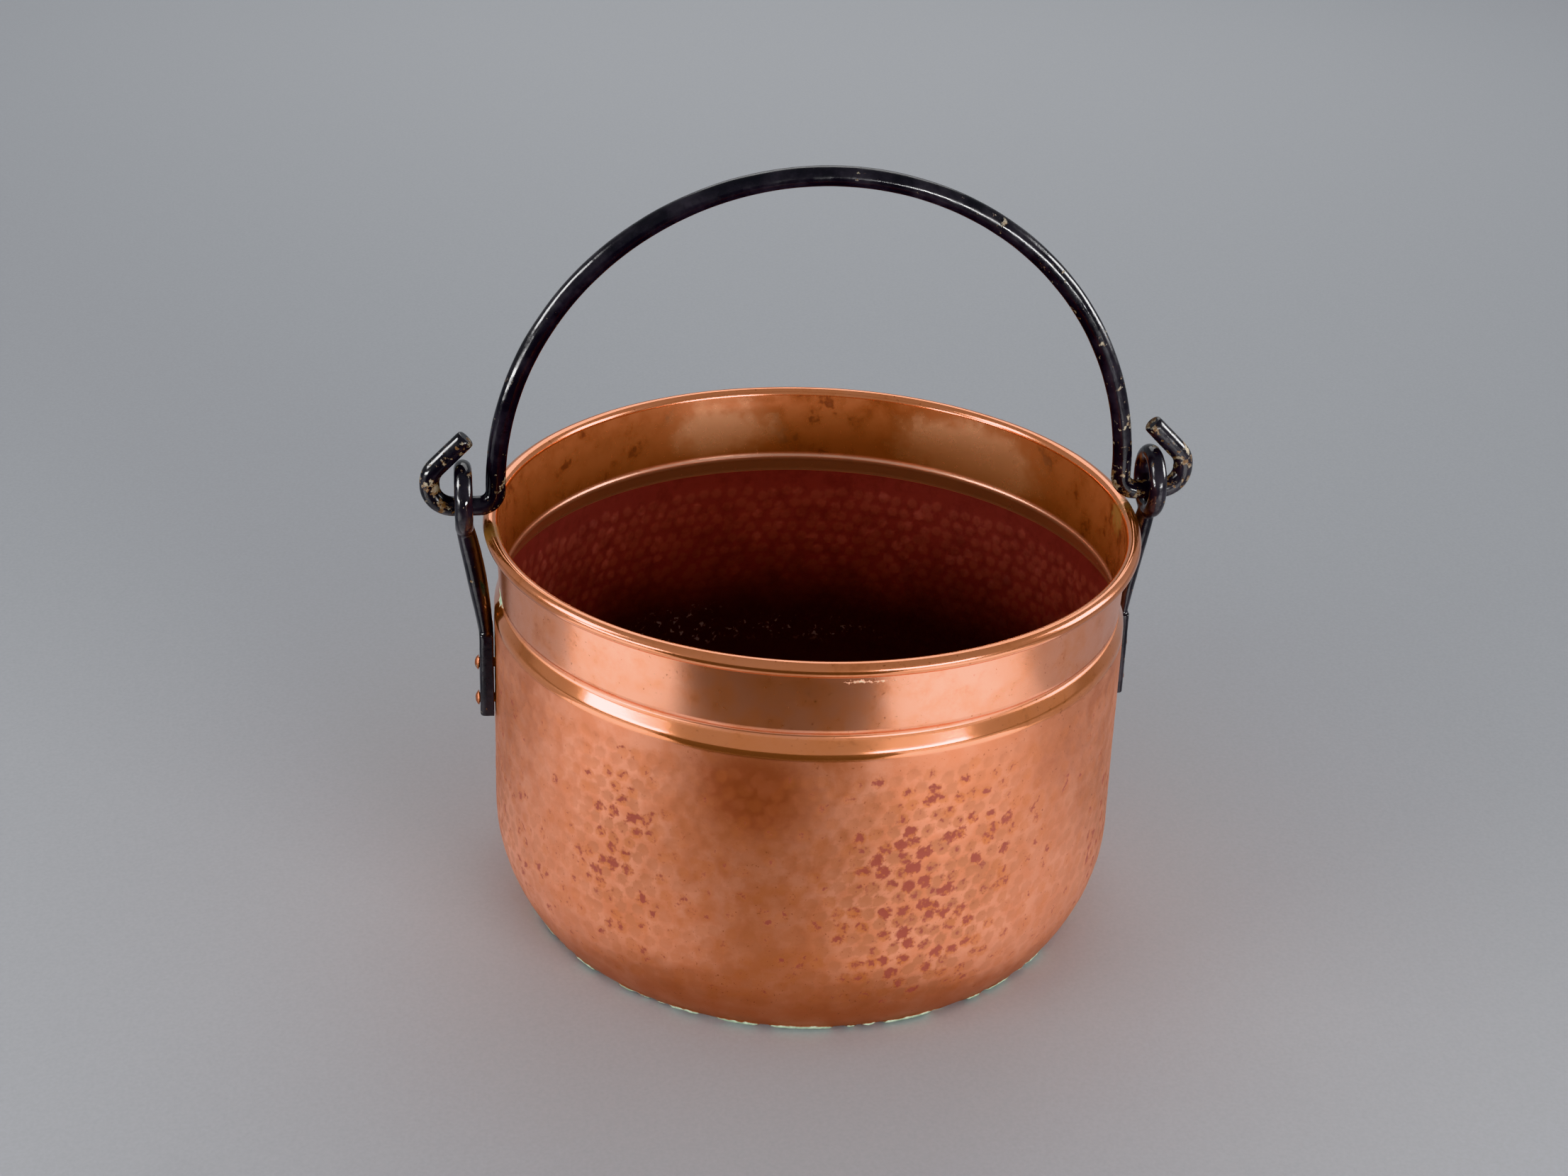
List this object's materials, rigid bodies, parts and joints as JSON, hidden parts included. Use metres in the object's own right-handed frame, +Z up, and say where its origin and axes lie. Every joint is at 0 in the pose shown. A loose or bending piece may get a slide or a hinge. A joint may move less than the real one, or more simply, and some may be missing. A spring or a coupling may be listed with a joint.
{
  "type": "copper cauldron",
  "caption": "Round flat-bottomed hammered copper cooking pot with a rolled rim, hung from a swinging iron bail in riveted iron ears.",
  "frame": {"origin": "middle of the flat base, on the surface the pot stands on", "axes": "+Z up out of the mouth, X through both ears along the bail's hinge line, Y front to back; the bail stands upright at rest"},
  "size_m": [0.284, 0.24, 0.2856],
  "materials": {
    "hammered_copper": "hammered and worn, warm red-brown patina",
    "copper_rivet": "hammered heads, dull",
    "black_iron": "glossy black paint, chipped to rust",
    "bare_iron_wire": "bare iron, hidden inside the rolled rim"
  },
  "bodies": {
    "pot": {"pot_body": "hammered_copper", "rim_wire": "bare_iron_wire", "ear_right": "black_iron", "ear_left": "black_iron", "rivet_right_upper": "copper_rivet", "rivet_right_lower": "copper_rivet", "rivet_left_upper": "copper_rivet", "rivet_left_lower": "copper_rivet"},
    "bail": {"bail_handle": "black_iron"}
  },
  "joints": [
    {"name": "bail_swing", "type": "hinge", "parent": "pot", "child": "bail", "pos_m": [0, 0, 0.161], "axis": [1, 0, 0], "range_deg": [-90, 90]}
  ]
}
